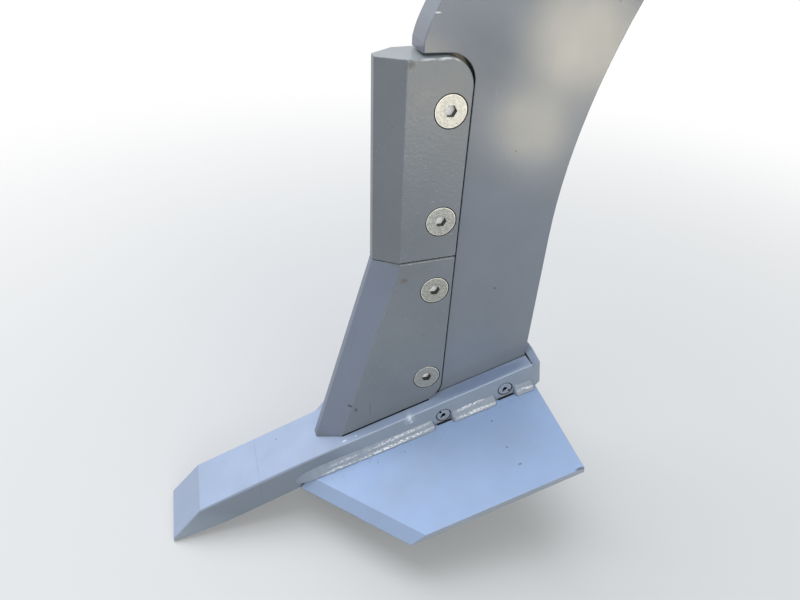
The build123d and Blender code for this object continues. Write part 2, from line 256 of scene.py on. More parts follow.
@dataclass(frozen=True)
class Mark:
    """A knock, smudge or streak, or a patch of painted shade or painted highlight.

    Its place is in metres, its half sizes are in millimetres and its turn about Y in degrees.
    The outline wanders by ragged half sizes. A mark with a negative depth stands out.
    """

    place: Triple
    reach: Triple
    colour: str = "FFFFFF"
    strength: float = 1.0
    ragged: float = 0.5
    depth_mm: float = 0.0
    turn: float = 0.0

    def add(self, tree: Tree, coords: Socket) -> Socket:
        """Adds the mark's mask to a material.

        Args:
            tree: The material's node tree.
            coords: Object coordinates in metres.

        Returns:
            A value from 0 outside the mark to its strength inside it.
        """
        near = add_node(
            tree,
            "Mapping",
            {
                "vector_type": "TEXTURE",
                "in:Location": self.place,
                "in:Rotation": (0.0, math.radians(self.turn), 0.0),
                "in:Scale": [reach * MM for reach in self.reach],
            },
            {"Vector": coords},
        )
        far = add_node(tree, "VectorMath", {"operation": "LENGTH"}, {0: near})
        wander = add_node(tree, "TexNoise", {"in:Scale": 1.6, "in:Detail": 4.0}, {"Vector": near})
        edge = add_node(
            tree,
            "Math",
            {"operation": "MULTIPLY_ADD", "in:1": 2.0 * self.ragged},
            {0: wander, 2: far.outputs["Value"]},
        )
        # The noise is a half on average, so the outline lies near 1 + ragged
        clear = 1.0 + 1.3 * self.ragged
        full = 0.7 + 0.7 * self.ragged
        mask = add_node(
            tree,
            "MapRange",
            {"in:From Min": clear, "in:From Max": full, "in:To Max": self.strength},
            {"Value": edge},
        )
        return mask.outputs[0]


@dataclass(frozen=True)
class Ring:
    """A ring of painted shade round an axis along Y: place in metres, radii in millimetres, colour,
    strength.
    """

    place: Triple
    inner_mm: float
    outer_mm: float
    colour: str
    strength: float
    soft_mm: float = 0.3

    def add(self, tree: Tree, coords: Socket) -> Socket:
        """Adds the ring's mask to a material.

        Args:
            tree: The material's node tree.
            coords: Object coordinates in metres.

        Returns:
            A value from 0 outside the ring to its strength inside it.
        """
        radius = radius_about(tree, coords, self.place)
        # Radius outside the ring, radius inside it and level there, for each of its edges
        edges = (
            (self.inner_mm - self.soft_mm, self.inner_mm, self.strength),
            (self.outer_mm + self.soft_mm, self.outer_mm, 1.0),
        )
        inner, outer = (
            add_node(
                tree,
                "MapRange",
                {"in:From Min": off * MM, "in:From Max": on * MM, "in:To Max": level},
                {"Value": radius},
            )
            for off, on, level in edges
        )
        mask = add_node(tree, "Math", {"operation": "MULTIPLY"}, {0: inner, 1: outer})
        return mask.outputs[0]


@dataclass(frozen=True)
class PaintedLightBox:
    """A box of painted light, such as painted shade in a joint or the painted tone that a bevel
    reflects.

    Its centre and half sizes are in metres, and its turn about Y is in degrees.
    """

    centre: Triple
    half: Triple
    turn: float = 0.0
    # Near black, for painted shade in joints
    colour: str = "131517"
    strength: float = 1.0
    soft_mm: float = 0.4

    def add(self, tree: Tree, coords: Socket) -> Socket:
        """Adds the box's mask to a material.

        Args:
            tree: The material's node tree.
            coords: Object coordinates in metres.

        Returns:
            A value from 0 outside the box to its strength inside it.
        """
        local = add_node(
            tree,
            "Mapping",
            {
                "vector_type": "TEXTURE",
                "in:Location": self.centre,
                "in:Rotation": (0.0, math.radians(self.turn), 0.0),
            },
            {"Vector": coords},
        )
        size = add_node(tree, "VectorMath", {"operation": "ABSOLUTE"}, {0: local})
        past = add_node(tree, "VectorMath", {"operation": "SUBTRACT", "in:1": self.half}, {0: size})
        parts = add_node(tree, "SeparateXYZ", links={0: past}).outputs
        worst = parts["X"]
        for axis in "YZ":
            worst = add_node(tree, "Math", {"operation": "MAXIMUM"}, {0: worst, 1: parts[axis]})
        mask = add_node(
            tree,
            "MapRange",
            {"in:From Min": 0.0, "in:From Max": -self.soft_mm * MM, "in:To Max": self.strength},
            {"Value": worst},
        )
        return mask.outputs[0]


@dataclass(frozen=True)
class Grain:
    """A fine, even grain on a surface with rounded edges."""

    size_mm: float
    depth_mm: float
    edge_mm: float
    detail: float = 2.0

    def add(self, tree: Tree, coords: Socket) -> Socket:
        """Adds the grain to a material.

        Args:
            tree: The material's node tree.
            coords: Object coordinates in metres.

        Returns:
            The surface's normal.
        """
        grit = add_node(
            tree,
            "TexNoise",
            {"in:Scale": 1.0 / (self.size_mm * MM), "in:Detail": self.detail},
            {"Vector": coords},
        )
        soft = add_node(tree, "Bevel", {"samples": BEVEL_SAMPLES, "in:Radius": self.edge_mm * MM})
        bump = add_node(
            tree,
            "Bump",
            {"in:Strength": 1.0, "in:Distance": self.depth_mm * MM},
            {"Height": grit, "Normal": soft},
        )
        return bump.outputs[0]


@dataclass(frozen=True)
class PaintedSteel:
    """Steel plate under a sprayed coat, with dust and painted light on its upward faces, scratches,
    chips and rubbed edges.
    """

    name: str
    # The coat, in slow clouds of tone and sheen, and its orange peel
    colour: str
    shade: str
    dust_and_top_light: str
    cloud_mm: float = 90.0
    rough: float = 0.42
    sheen: Patches = Patches(26.0, 0.25, 0.75, detail=5.0, offset=7.0)
    sheen_spread: Pair = (0.86, 1.18)
    coat: float = 0.12
    coat_rough: float = 0.3
    peel_mm: float = 1.6
    peel_depth_mm: float = 0.03
    # Dust and painted light from above, from one upward part of the normal to another
    dust_and_top_light_amount: float = 0.6
    dust_and_top_light_slope: Pair = (0.2, 0.82)
    dust_and_top_light_patches: Patches = Patches(60.0, -0.5, 0.6, offset=3.0)
    # Scratches, and on the weld flecks of painted highlight; their way is their length along X, Y
    # and Z in widths
    scratch_and_highlight_way: Triple = (1.0, 1.0, 40.0)
    scratch_and_highlight_colour: str = "9AA0A8"
    scratch_and_highlight_mm: float = 0.9
    scratch_and_highlight_cut: Pair = (0.69, 0.73)
    scratch_and_highlight_turn: float = 0.0
    scratch_and_highlight_zones: tuple[Patches | Mark, ...] = (Patches(45.0, 0.45, 0.6, detail=2.0, offset=5.0),)
    scratch_and_highlight_depth_mm: float = 0.05
    scratches_and_highlights: float = 0.35
    # Chips in a share of cells, with their radius and soft edge as shares of a cell
    chip_colour: str = "4E535A"
    chip_mm: float = 11.0
    chip_share: float = 0.04
    chip_radius: float = 0.17
    chip_edge: float = 0.03
    chip_bend_mm: float = 10.0 / 3.0
    chip_bend_reach_mm: float = 4.0
    chip_depth_mm: float = 0.1
    chips: float = 0.7
    # Rounded edges, with paint rubbed off from one cosine of the edge's turn to another
    bare: str = "8F8C86"
    bare_metallic: float = 0.55
    edge_mm: float = 0.7
    edge_wear: float = 0.8
    edge_turn: Pair = (0.995, 0.93)
    edge_breaks: Patches = Patches(5.0, 0.46, 0.58, detail=6.0, offset=2.0)
    # Marks of wear and dirt, and boxes, rings and patches of painted shade, highlight and
    # reflection
    marks_and_painted_light: tuple[Mark | Ring | PaintedLightBox, ...] = ()

    def build(self) -> bpy.types.Material:
        """Makes the material.

        Returns:
            The painted steel.
        """
        material, tree, shader = new_material(self.name)
        coords = add_node(tree, "TexCoord").outputs["Object"]
        clouds = Patches(self.cloud_mm, 0.3, 0.7, detail=4.0)
        chips = self._chips(tree, coords)
        soft, edge = self._edges(tree, coords)
        scratch_and_highlight = self._scratches_and_highlights(tree, coords)
        layers = [
            (self.shade, clouds.add(tree, coords)),
            (self.dust_and_top_light, self._dust_and_top_light(tree, coords)),
            (self.scratch_and_highlight_colour, scratch_and_highlight),
            (self.bare, edge),
            (self.chip_colour, chips),
        ]
        layers += [(mark.colour, mark.add(tree, coords)) for mark in self.marks_and_painted_light]
        worn = add_node(tree, "Math", {"operation": "MAXIMUM"}, {0: chips, 1: edge})
        metal = add_node(
            tree, "Math", {"operation": "MULTIPLY", "in:1": self.bare_metallic}, {0: worn}
        )
        least, most = self.sheen_spread
        rough = add_node(
            tree,
            "MapRange",
            {"in:To Min": least * self.rough, "in:To Max": most * self.rough},
            {"Value": self.sheen.add(tree, coords)},
        )
        cuts = [(worn, -self.chip_depth_mm), (scratch_and_highlight, -self.scratch_and_highlight_depth_mm)]
        shader.inputs["Coat Weight"].default_value = self.coat
        shader.inputs["Coat Roughness"].default_value = self.coat_rough
        looks = {
            "Base Color": lay_colours(tree, self.colour, layers),
            "Metallic": metal,
            "Roughness": rough,
            "Normal": self._relief(tree, coords, soft, cuts),
        }
        feed(tree, shader, looks)
        return material

    def _dust_and_top_light(self, tree: Tree, coords: Socket) -> Node:
        """Adds the pale film on faces that look up: dust, and painted light from above.

        Args:
            tree: The material's node tree.
            coords: Object coordinates in metres.

        Returns:
            The film's amount.
        """
        up = add_node(tree, "NewGeometry").outputs["Normal"]
        lift = add_node(tree, "SeparateXYZ", links={0: up}).outputs["Z"]
        steep, level = self.dust_and_top_light_slope
        film = add_node(
            tree,
            "MapRange",
            {"in:From Min": steep, "in:From Max": level, "in:To Max": self.dust_and_top_light_amount},
            {"Value": lift},
        )
        patch = self.dust_and_top_light_patches.add(tree, coords)
        return add_node(tree, "Math", {"operation": "MULTIPLY"}, {0: film, 1: patch})

    def _chips(self, tree: Tree, coords: Socket) -> Node:
        """Adds small flakes of missing paint, in few of the cells.

        Args:
            tree: The material's node tree.
            coords: Object coordinates in metres.

        Returns:
            Their mask.
        """
        warp = add_node(
            tree, "TexNoise", {"in:Scale": 1.0 / (self.chip_bend_mm * MM)}, {"Vector": coords}
        )
        bent = add_node(
            tree,
            "VectorMath",
            {"operation": "MULTIPLY_ADD", "in:1": [self.chip_bend_reach_mm * MM] * 3},
            {0: warp.outputs["Color"], 2: coords},
        )
        cells = add_node(
            tree, "TexVoronoi", {"in:Scale": 1.0 / (self.chip_mm * MM)}, {"Vector": bent}
        )
        few = add_node(tree, "SeparateColor", links={0: cells.outputs["Color"]})
        chosen = add_node(
            tree,
            "MapRange",
            {
                "in:From Min": 1.0 - self.chip_share,
                "in:From Max": 1.0,
                "in:To Min": 0.0,
                "in:To Max": self.chip_radius,
            },
            {"Value": few},
        )
        away = cells.outputs["Distance"]
        inside = add_node(tree, "Math", {"operation": "SUBTRACT"}, {0: chosen, 1: away})
        return add_node(
            tree,
            "MapRange",
            {"in:From Min": 0.0, "in:From Max": self.chip_edge, "in:To Max": self.chips},
            {"Value": inside},
        )

    def _scratches_and_highlights(self, tree: Tree, coords: Socket) -> Node:
        """Adds fine scratches, or flecks of painted highlight, in their zones.

        Args:
            tree: The material's node tree.
            coords: Object coordinates in metres.

        Returns:
            Their mask.
        """
        low, high = self.scratch_and_highlight_cut
        fine = Patches(self.scratch_and_highlight_mm, low, high, self.scratch_and_highlight_way, 2.0, 11.0, self.scratch_and_highlight_turn)
        lines = fine.add(tree, coords)
        zones = [zone.add(tree, coords) for zone in self.scratch_and_highlight_zones]
        where = zones[0]
        for zone in zones[1:]:
            where = add_node(tree, "Math", {"operation": "MAXIMUM"}, {0: where, 1: zone})
        both = add_node(tree, "Math", {"operation": "MULTIPLY"}, {0: lines, 1: where})
        return add_node(tree, "Math", {"operation": "MULTIPLY", "in:1": self.scratches_and_highlights}, {0: both})

    def _edges(self, tree: Tree, coords: Socket) -> tuple[Node, Node]:
        """Adds rounded edges with the paint rubbed off them.

        Args:
            tree: The material's node tree.
            coords: Object coordinates in metres.

        Returns:
            The rounded normal and the mask of the bare steel.
        """
        soft = add_node(tree, "Bevel", {"samples": BEVEL_SAMPLES, "in:Radius": self.edge_mm * MM})
        flat = add_node(tree, "NewGeometry").outputs["Normal"]
        turn = add_node(tree, "VectorMath", {"operation": "DOT_PRODUCT"}, {0: soft, 1: flat})
        slight, sharp = self.edge_turn
        line = add_node(
            tree,
            "MapRange",
            {"in:From Min": slight, "in:From Max": sharp, "in:To Max": self.edge_wear},
            {"Value": turn.outputs["Value"]},
        )
        broken = self.edge_breaks.add(tree, coords)
        mask = add_node(tree, "Math", {"operation": "MULTIPLY"}, {0: line, 1: broken})
        return soft, mask

    def _relief(
        self, tree: Tree, coords: Socket, soft: Node, cuts: list[tuple[Node | Socket, float]]
    ) -> Node:
        """Adds the spray's orange peel, with chips, scratches and knocks cut into it.

        Args:
            tree: The material's node tree.
            coords: Object coordinates in metres.
            soft: Normal with rounded edges.
            cuts: Masks, each with its height in millimetres, less than 0 for a cut.

        Returns:
            The surface's normal.
        """
        peel = add_node(
            tree,
            "TexNoise",
            {"in:Scale": 1.0 / (self.peel_mm * MM), "in:Detail": 2.0},
            {"Vector": coords},
        )
        height = add_node(
            tree, "Math", {"operation": "MULTIPLY", "in:1": self.peel_depth_mm}, {0: peel}
        )
        dents = [mark for mark in self.marks_and_painted_light if isinstance(mark, Mark) and mark.depth_mm]
        for mask, rise in cuts + [(dent.add(tree, coords), -dent.depth_mm) for dent in dents]:
            height = add_node(
                tree, "Math", {"operation": "MULTIPLY_ADD", "in:1": rise}, {0: mask, 2: height}
            )
        return add_node(
            tree,
            "Bump",
            {"in:Strength": 1.0, "in:Distance": MM},
            {"Height": height, "Normal": soft},
        )


@dataclass(frozen=True)
class ZincPlate:
    """Zinc-plated steel: a pale, slightly warm grey with a gritty, half-dull gloss.

    The grit is drawn coarser than real plating's, so that it shows.
    """

    name: str
    centre: Triple
    colour: str
    stain: str
    rim: str = "E9E7E0"
    rim_mm: float = 14.4
    soft_mm: float = 0.4
    # The socket: the radius that it stays inside, its depth, and its colour's gap to the face
    socket_mm: float = 6.2
    socket_depth_mm: float = 6.0
    skin_mm: float = 0.05
    # Painted shade on the socket's walls and a painted highlight on its floor
    painted_shade_socket_wall: str = "24272A"
    painted_highlight_socket_floor: str = "FFFFFF"
    socket_rough: float = 0.23
    metallic: float = 0.75
    rough: float = 0.46
    grain: Grain = Grain(0.7, 0.12, 0.5, detail=4.0)

    def build(self) -> bpy.types.Material:
        """Makes the material, with a brighter rim round the head and painted light in its socket.

        Returns:
            The plated steel.
        """
        material, tree, shader = new_material(self.name)
        coords = add_node(tree, "TexCoord").outputs["Object"]
        stains = Patches(1.3, 0.42, 0.58, detail=4.0, offset=self.centre[2])
        radius = radius_about(tree, coords, self.centre)
        rim = add_node(
            tree,
            "MapRange",
            {"in:From Min": (self.rim_mm - self.soft_mm) * MM, "in:From Max": self.rim_mm * MM},
            {"Value": radius},
        )
        layers = [(self.stain, stains.add(tree, coords)), (self.rim, rim)]
        head = lay_colours(tree, self.colour, layers)
        socket = self._socket(tree, coords, radius)
        # Painted light: the socket's floor, which faces out, gets the highlight and its walls the
        # shade
        flat = add_node(tree, "NewGeometry").outputs["Normal"]
        facing = add_node(tree, "SeparateXYZ", links={0: flat}).outputs["Y"]
        inside = lay_colours(tree, self.painted_shade_socket_wall, [(self.painted_highlight_socket_floor, facing)])
        colour = add_node(tree, "Mix", {"data_type": "RGBA"}, {0: socket, 6: head, 7: inside})
        # Levels outside the socket and in it
        metal, rough = (
            add_node(tree, "MapRange", {"in:To Min": out, "in:To Max": sunk}, {"Value": socket})
            for out, sunk in ((self.metallic, 0.0), (self.rough, self.socket_rough))
        )
        looks = {
            "Base Color": colour.outputs[2],
            "Metallic": metal,
            "Roughness": rough,
            "Normal": self.grain.add(tree, coords),
        }
        feed(tree, shader, looks)
        return material

    def _socket(self, tree: Tree, coords: Socket, radius: Socket) -> Node:
        """Adds the mask of what lies in the head's socket.

        Args:
            tree: The material's node tree.
            coords: Object coordinates in metres.
            radius: Distance from the screw's axis, in metres.

        Returns:
            The mask.
        """
        near = add_node(
            tree, "Math", {"operation": "LESS_THAN", "in:1": self.socket_mm * MM}, {0: radius}
        )
        half = 0.5 * self.socket_depth_mm
        across = add_node(tree, "SeparateXYZ", links={0: coords}).outputs["Y"]
        sunk = add_node(
            tree,
            "Math",
            {
                "operation": "COMPARE",
                "in:1": self.centre[1] - (half + 2.0 * self.skin_mm) * MM,
                "in:2": (half + self.skin_mm) * MM,
            },
            {0: across},
        )
        return add_node(tree, "Math", {"operation": "MULTIPLY"}, {0: near, 1: sunk})


@dataclass(frozen=True)
class SpringSteel:
    """Spring steel sleeves under overspray: grey sawn ends, darker rolled walls.

    The grain is drawn coarser than real steel's, so that it shows.
    """

    name: str
    end_colour: str = "98A2B0"
    wall_colour: str = "26272A"
    rust: str = "4A3B31"
    rust_patches: Patches = Patches(3.0, 0.6, 0.85, detail=4.0)
    end_mm: float = 34.4
    soft_mm: float = 0.4
    metallic: float = 0.4
    rough: float = 0.5
    grain: Grain = Grain(0.5, 0.1, 0.3)

    def build(self) -> bpy.types.Material:
        """Makes the material.

        Returns:
            The spring steel.
        """
        material, tree, shader = new_material(self.name)
        coords = add_node(tree, "TexCoord").outputs["Object"]
        across = add_node(tree, "SeparateXYZ", links={0: coords}).outputs["Y"]
        depth = add_node(tree, "Math", {"operation": "ABSOLUTE"}, {0: across})
        end = add_node(
            tree,
            "MapRange",
            {"in:From Min": (self.end_mm - self.soft_mm) * MM, "in:From Max": self.end_mm * MM},
            {"Value": depth},
        )
        layers = [(self.end_colour, end), (self.rust, self.rust_patches.add(tree, coords))]
        shader.inputs["Metallic"].default_value = self.metallic
        shader.inputs["Roughness"].default_value = self.rough
        looks = {
            "Base Color": lay_colours(tree, self.wall_colour, layers),
            "Normal": self.grain.add(tree, coords),
        }
        feed(tree, shader, looks)
        return material


def dress(nodes: Nodes, names: Sequence[str], finish: bpy.types.Material) -> list[str]:
    """Gives CAD pieces one finish all over.

    Args:
        nodes: CAD objects by name.
        names: The pieces.
        finish: Their finish.

    Returns:
        The pieces' names.
    """
    for name in names:
        nodes[name].data.materials.clear()
        nodes[name].data.materials.append(finish)
    return list(names)


def outer_centre(name: str) -> Triple:
    """Gives the middle of a piece's left side, in metres.

    Args:
        name: The CAD node.

    Returns:
        The place.
    """
    low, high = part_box(name)
    return ((low[0] + high[0]) / 2, high[1], (low[2] + high[2]) / 2)


@dataclass(frozen=True)
class PhotoCamera:
    """The photograph's camera: place in metres, turn in degrees, lens in millimetres."""

    place: Triple = (0.33868, 0.5164, -0.0404)
    heading: float = 161.42
    pitch: float = -34.52
    roll: float = 3.145
    lens: float = 28.02
    sensor: float = 36.0
    nearest: float = 0.01

    def build(self) -> None:
        """Makes the camera and sets it as the scene's."""
        data = bpy.data.cameras.new("photo_camera")
        data.lens = self.lens
        data.sensor_width = self.sensor
        data.clip_start = self.nearest
        camera = bpy.data.objects.new("photo_camera", data)
        bpy.context.scene.collection.objects.link(camera)
        turn = Matrix.Rotation(math.radians(self.heading), 4, "Z")
        turn = turn @ Matrix.Rotation(math.radians(90 + self.pitch), 4, "X")
        turn = turn @ Matrix.Rotation(math.radians(self.roll), 4, "Z")
        camera.matrix_world = Matrix.Translation(self.place) @ turn
        bpy.context.scene.camera = camera


@dataclass(frozen=True)
class SoftLamp:
    """A soft lamp: place, target and side in metres, power in watts; a disc if for gloss only."""

    name: str
    place: Triple
    target: Triple
    side: float
    power: float
    colour: str
    gloss_only: bool = False

    def build(self) -> None:
        """Makes the lamp, turned towards its target."""
        data = bpy.data.lights.new(self.name, "AREA")
        data.shape = "DISK" if self.gloss_only else "SQUARE"
        data.size = self.side
        data.energy = self.power
        data.color = srgb(self.colour)[:3]
        lamp = bpy.data.objects.new(self.name, data)
        bpy.context.scene.collection.objects.link(lamp)
        way = Vector(self.target) - Vector(self.place)
        turn = way.to_track_quat("-Z", "Y").to_matrix().to_4x4()
        lamp.matrix_world = Matrix.Translation(self.place) @ turn
        lamp.visible_camera = False
        lamp.visible_diffuse = not self.gloss_only


@dataclass
class Studio:
    """A pale floor that fades to white, with soft light from above and the viewer's side."""

    floor_up: float
    floor_side: float = 9.0
    floor_colour: str = "D8D8D5"
    fade_from: float = 0.5
    fade_to: float = 1.9
    world_colour: str = "E9EEF5"
    world_strength: float = 0.54
    dark_card_place: Triple = (-0.38, 1.0, -0.40)
    dark_card_side: float = 0.17
    # Name, place, target, side, watts, colour, and whether only gloss sees it
    lamps: tuple[SoftLamp, ...] = (
        SoftLamp("sky_lamp", (0.6, -0.7, 2.3), (0.1, 0.0, -0.4), 2.6, 70.0, "F1F5FF"),
        SoftLamp("side_lamp", (-0.1, 2.6, 0.4), (0.0, 0.0, -0.4), 2.2, 33.0, "FFFCF6"),
        SoftLamp("card_high", (-0.62, 1.0, -0.37), (0.03, 0.0, -0.17), 0.27, 1.7, "FFF0CC", True),
        SoftLamp("card_low", (-0.51, 1.0, -0.60), (0.05, 0.0, -0.24), 0.19, 0.72, "FFF0CC", True),
        SoftLamp("card_front", (-0.21, 1.1, -0.50), (0.16, 0.0, -0.2), 0.18, 0.8, "FFE8BE", True),
    )

    def build(self) -> None:
        """Makes the floor, the dark card, the lamps and the world."""
        self._floor()
        self._dark_card()
        for lamp in self.lamps:
            lamp.build()
        self._world()
        bpy.context.scene.view_settings.view_transform = "Standard"

    def _sheet(
        self, name: str, side: float, place: Matrix, material: bpy.types.Material
    ) -> bpy.types.Object:
        """Makes one flat, square face.

        Args:
            name: Its name.
            side: Its side, in metres.
            place: Its place and turn.
            material: Its finish.

        Returns:
            The sheet.
        """
        mesh = bpy.data.meshes.new(name)
        shape = bmesh.new()
        bmesh.ops.create_grid(shape, x_segments=1, y_segments=1, size=side / 2, matrix=place)
        shape.to_mesh(mesh)
        shape.free()
        mesh.materials.append(material)
        sheet = bpy.data.objects.new(name, mesh)
        bpy.context.scene.collection.objects.link(sheet)
        return sheet

    def _floor(self) -> None:
        """Makes the floor, which grows clear with distance and shows the white behind it."""
        # Matt studio paper: even and pale, with no gloss at all
        material, tree, shader = new_material("studio_floor")
        shader.inputs["Base Color"].default_value = srgb(self.floor_colour)
        shader.inputs["Roughness"].default_value = 0.9
        shader.inputs["Specular IOR Level"].default_value = 0.0
        coords = add_node(tree, "TexCoord").outputs["Object"]
        far = add_node(tree, "VectorMath", {"operation": "LENGTH"}, {0: coords})
        fade = add_node(
            tree,
            "MapRange",
            {
                "interpolation_type": "SMOOTHSTEP",
                "in:From Min": self.fade_from,
                "in:From Max": self.fade_to,
            },
            {"Value": far.outputs["Value"]},
        )
        clear = add_node(tree, "BsdfTransparent")
        both = add_node(tree, "MixShader", links={0: fade, 1: shader, 2: clear})
        feed(tree, tree.nodes["Material Output"], {"Surface": both})
        place = Matrix.Translation((0.0, 0.0, self.floor_up))
        floor = self._sheet("floor", self.floor_side, place, material)
        floor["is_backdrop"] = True

    def _dark_card(self) -> None:
        """Makes an upright black card that only gloss sees, between the pale ones."""
        # Black cloth on a board: it takes the white studio's gloss off the shank beside it
        material, _, shader = new_material("black_cloth")
        shader.inputs["Base Color"].default_value = srgb("202020")
        shader.inputs["Roughness"].default_value = 1.0
        upright = Matrix.Rotation(math.pi / 2, 4, "X")
        place = Matrix.Translation(self.dark_card_place) @ upright
        card = self._sheet("dark_card", self.dark_card_side, place, material)
        card.visible_camera = False
        card.visible_diffuse = False
        card.visible_shadow = False
        card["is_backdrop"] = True

    def _world(self) -> None:
        """Lights the scene softly from all round and shows white to the camera and to gloss."""
        world = bpy.data.worlds.new("studio_world")
        bpy.context.scene.world = world
        world.use_nodes = True
        tree = world.node_tree
        tree.nodes.clear()
        light = add_node(
            tree,
            "Background",
            {"in:Color": srgb(self.world_colour), "in:Strength": self.world_strength},
        )
        white = add_node(tree, "Background", {"in:Color": srgb("FFFFFF")})
        path = add_node(tree, "LightPath").outputs
        seen = path["Is Camera Ray"]
        for ray in ("Is Glossy Ray", "Is Transmission Ray"):
            seen = add_node(tree, "Math", {"operation": "MAXIMUM"}, {0: seen, 1: path[ray]})
        both = add_node(tree, "MixShader", links={0: seen, 1: light, 2: white})
        add_node(tree, "OutputWorld", links={"Surface": both})


@dataclass
class Shank:
    """The swept plate: grey enamel, rubbed bright where a bracket's cheeks press on the head."""

    pivot_rub_mm: float = 27.0
    shear_from_pivot: Triple = (-0.0507, 0.0, 0.1088)

    def build(self, nodes: Nodes) -> list[str]:
        """Dresses the shank.

        Args:
            nodes: CAD objects by name.

        Returns:
            The names of the pieces that it dressed.
        """
        rubs = tuple(
            Mark(place, (self.pivot_rub_mm, 60.0, self.pivot_rub_mm), "85837F", 0.5, 0.9)
            for place in ((0.0, 0.0, 0.0), self.shear_from_pivot)
        )
        # Painted shade: near black on the notch's walls and the tongue, in the joint behind the
        # shin
        painted_shade_notch = PaintedLightBox((0.1627, 0.0, -0.4000), (0.0498, 0.0157, 0.2384))
        # Painted shadow: a dark band on the shank round the lower shin's corner
        corner = Ring((0.1401, 0.0, -0.5298), 24.6, 26.8, "15181A", 0.95)
        # Painted shade: a darker, bluer tone on the lip's face that looks down
        painted_shade_lip = PaintedLightBox((0.1622, 0.0, -0.1578), (0.0016, 0.0163, 0.0042), 0.0, "5A6180", 0.6)
        chip = Mark((0.1520, 0.016, -0.1308), (3.0, 2.0, 0.8), "D8DCE0", 0.9, 0.4)
        # Sprayed enamel on rolled plate: an even satin grey with a fine orange peel
        paint = PaintedSteel(
            name="grey_enamel_on_rolled_plate",
            colour="79818C",
            shade="727A84",
            # Its film on top is dust and painted light from above
            dust_and_top_light="A8B0BB",
            rough=0.18,
            coat_rough=0.18,
            scratches_and_highlights=0.3,
            chips=0.5,
            marks_and_painted_light=(*rubs, painted_shade_notch, corner, painted_shade_lip, chip),
        )
        return dress(nodes, ["shank"], paint.build())


@dataclass
class Shins:
    """Two forked wear pieces: darker enamel with knocks, smudges and a chipped outline."""

    half_width: float = 0.0225
    screw_ring_mm: Pair = (13.0, 15.7)
    shins: tuple[str, ...] = ("upper_shin", "lower_shin")
    screw_rows: tuple[str, ...] = ("high", "low")

    def build(self, nodes: Nodes) -> list[str]:
        """Dresses both shins.

        Args:
            nodes: CAD objects by name.

        Returns:
            The names of the pieces that it dressed.
        """
        side = self.half_width
        knocks = (
            Mark((0.2247, side, -0.5361), (2.7, 6.0, 1.6), "2E3033", 0.9, 0.7, 0.25),
            Mark((0.2177, side, -0.5425), (1.6, 6.0, 2.6), "34363A", 0.85, 0.7, 0.2),
            Mark((0.1743, side, -0.1685), (3.6, 8.0, 3.6), "3C3E42", 0.7, 0.8),
            Mark((0.1696, side, -0.3762), (4.0, 8.0, 3.0), "5C4A3C", 0.5, 0.9),
            Mark((0.2013, side, -0.5460), (0.6, 8.0, 11.0), "4A4C50", 0.6, 0.5, 0.1),
            Mark((0.1178, side, -0.3543), (1.5, 8.0, 1.5), "1C1E20", 0.9, 0.3),
            Mark((0.1610, side, -0.5560), (2.6, 3.0, 1.7), "1E2023", 0.9, 0.7),
            Mark((0.1600, side, -0.1648), (7.0, 1.2, 0.9), "D2D5D5", 0.7, 1.2, turn=2.0),
            Mark((0.1455, side, -0.1642), (6.0, 1.3, 1.1), "DDDFDE", 0.9, 1.3, turn=2.0),
            Mark((0.1330, side, -0.1650), (5.0, 1.3, 1.1), "DDDFDE", 0.9, 1.3, turn=-15.0),
            Mark((0.1235, side, -0.1705), (6.0, 1.2, 1.1), "D2D5D5", 0.7, 1.2, turn=-45.0),
        )
        # Painted shade: a dark ring in the gap round each screw's head
        rings = [
            Ring(outer_centre(f"{shin}_screw_{row}"), *self.screw_ring_mm, "151719", 0.95)
            for shin in self.shins
            for row in self.screw_rows
        ]
        # Painted reflections: the noses' bevels mirror what is low and in front, so each is given a
        # slight painted tint
        painted_reflection_bevels = (
            PaintedLightBox((0.216, 0.0, -0.471), (0.02, 0.0223, 0.117), -15.2, "7884A6", 0.3),
            PaintedLightBox((0.187, 0.0, -0.2615), (0.02, 0.0223, 0.0955), 0.0, "6A6B6C", 0.3),
        )
        # Sprayed enamel on a hard cast wear piece: satin, a little darker and rougher
        paint = PaintedSteel(
            name="grey_enamel_on_wear_casting",
            colour="757D85",
            shade="6C737A",
            # Its film on top is dust and painted light from above
            dust_and_top_light="959D9B",
            bare="C6CACB",
            rough=0.3,
            peel_mm=3.2,
            peel_depth_mm=0.2,
            scratch_and_highlight_way=(5.0, 1.0, 1.5),
            scratch_and_highlight_colour="B4B8BA",
            scratch_and_highlight_cut=(0.66, 0.70),
            scratches_and_highlights=0.6,
            chips=0.8,
            chip_mm=9.0,
            edge_mm=0.9,
            edge_wear=0.4,
            marks_and_painted_light=(*painted_reflection_bevels, *knocks, *rings),
        )
        return dress(nodes, self.shins, paint.build())


